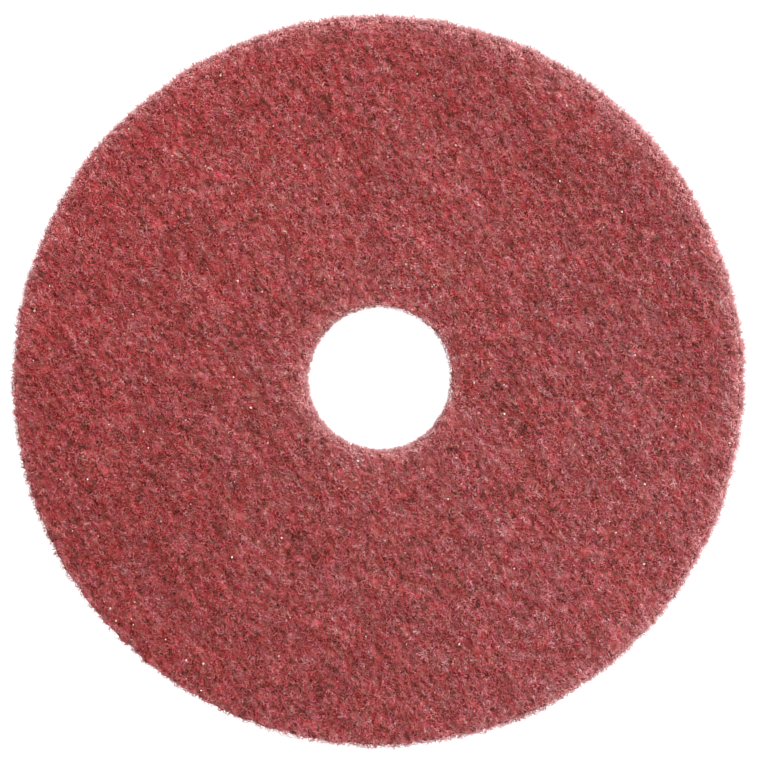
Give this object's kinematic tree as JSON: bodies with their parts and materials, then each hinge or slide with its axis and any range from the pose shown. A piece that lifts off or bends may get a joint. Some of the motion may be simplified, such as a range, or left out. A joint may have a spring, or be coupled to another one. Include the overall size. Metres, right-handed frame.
{
  "type": "floor machine pad",
  "caption": "Round nonwoven abrasive floor pad with an open centre hole, three bonded layers, driven by a rotary floor machine's pad driver to scrub or polish hard floors.",
  "frame": {"origin": "centre of the centre hole on the driver (back) face", "axes": "+Z along the hole's axis, from the driver face to the working face; X and Y lie in the driver face"},
  "size_m": [0.4319, 0.432, 0.02],
  "materials": {
    "working_face": "matte",
    "core": "matte",
    "driver_face": "matte"
  },
  "bodies": {
    "root": {"working_face_layer": "working_face", "core_web": "core", "driver_face_layer": "driver_face"}
  },
  "joints": []
}
